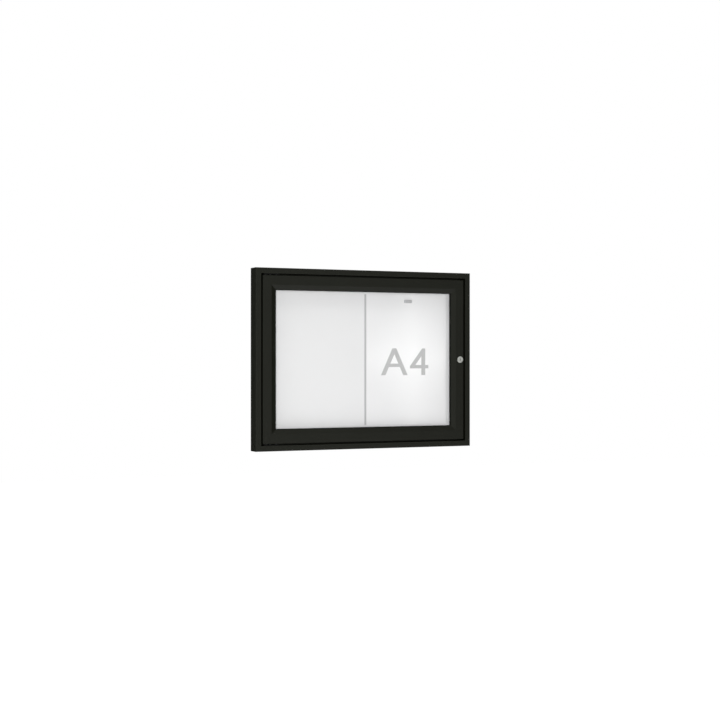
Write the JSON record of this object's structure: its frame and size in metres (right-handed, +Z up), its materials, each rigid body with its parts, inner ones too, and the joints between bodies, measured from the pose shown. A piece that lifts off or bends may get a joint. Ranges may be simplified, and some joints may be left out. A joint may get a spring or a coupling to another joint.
{
  "type": "notice board display case",
  "caption": "Shallow wall-mounted notice case with mitred black aluminium frame, white magnetic back and a glazed side-hung door that swings on corner pivots and closes with a cam lock.",
  "frame": {"origin": "centre of the rear plane that lies against the wall, midway between the four wall-fixing holes", "axes": "+X to the right as seen by a reader, +Y into the wall, +Z up; the front faces -Y"},
  "size_m": [0.53, 0.0332, 0.402],
  "materials": {
    "frame_paint": "fine matt powder coat on aluminium",
    "panel_white": "white lacquered steel, satin",
    "door_glass": "clear toughened glass",
    "seal_rubber": "black EPDM",
    "cleat_alloy": "cast, uncoated",
    "pivot_black": "black coated steel",
    "pin_steel": "zinc plated steel",
    "screw_black": "black zinc",
    "bush_nylon": "black nylon",
    "lock_nickel": "satin nickel plate",
    "black_plastic": "moulded, matt",
    "sheet_paper": "white paper, printed grey",
    "magnet_grey": "grey plastic over a magnet"
  },
  "bodies": {
    "case": {"case_left_profile": "frame_paint", "case_right_profile": "frame_paint", "case_top_profile": "frame_paint", "case_bottom_profile": "frame_paint", "case_corner_cleats": "cleat_alloy", "back_panel": "panel_white", "wall_spacers": "black_plastic", "door_seal_left": "seal_rubber", "door_seal_right": "seal_rubber", "door_seal_top": "seal_rubber", "door_seal_bottom": "seal_rubber", "upper_pivot_plate": "pivot_black", "lower_pivot_plate": "pivot_black", "upper_pivot_pin": "pin_steel", "lower_pivot_pin": "pin_steel", "pivot_plate_screws": "screw_black", "notice_sheet": "sheet_paper", "sheet_magnet": "magnet_grey"},
    "door": {"door_left_stile": "frame_paint", "door_right_stile": "frame_paint", "door_top_rail": "frame_paint", "door_bottom_rail": "frame_paint", "door_corner_cleats": "cleat_alloy", "door_pivot_cleats": "cleat_alloy", "door_glass": "door_glass", "setting_blocks": "black_plastic", "upper_pivot_bush": "bush_nylon", "lower_pivot_bush": "bush_nylon", "lock_body": "lock_nickel", "lock_nut": "lock_nickel", "lock_cover": "pivot_black", "lock_cover_screws": "screw_black", "glazing_gasket_left": "seal_rubber", "glazing_gasket_right": "seal_rubber", "glazing_gasket_top": "seal_rubber", "glazing_gasket_bottom": "seal_rubber", "wedge_gasket_left": "seal_rubber", "wedge_gasket_right": "seal_rubber", "wedge_gasket_top": "seal_rubber", "wedge_gasket_bottom": "seal_rubber", "glazing_bead_left": "frame_paint", "glazing_bead_right": "frame_paint", "glazing_bead_top": "frame_paint", "glazing_bead_bottom": "frame_paint"},
    "lock": {"lock_plug": "lock_nickel", "lock_cam": "pin_steel", "cam_screw": "pin_steel"}
  },
  "joints": [
    {"name": "door_hinge", "type": "hinge", "parent": "case", "child": "door", "pos_m": [-0.2405, -0.0249, 0], "axis": [0, 0, -1], "range_deg": [0, 110]},
    {"name": "lock_turn", "type": "hinge", "parent": "door", "child": "lock", "pos_m": [0.2395, -0.0314, 0], "axis": [0, 1, 0], "range_deg": [0, 90]}
  ]
}
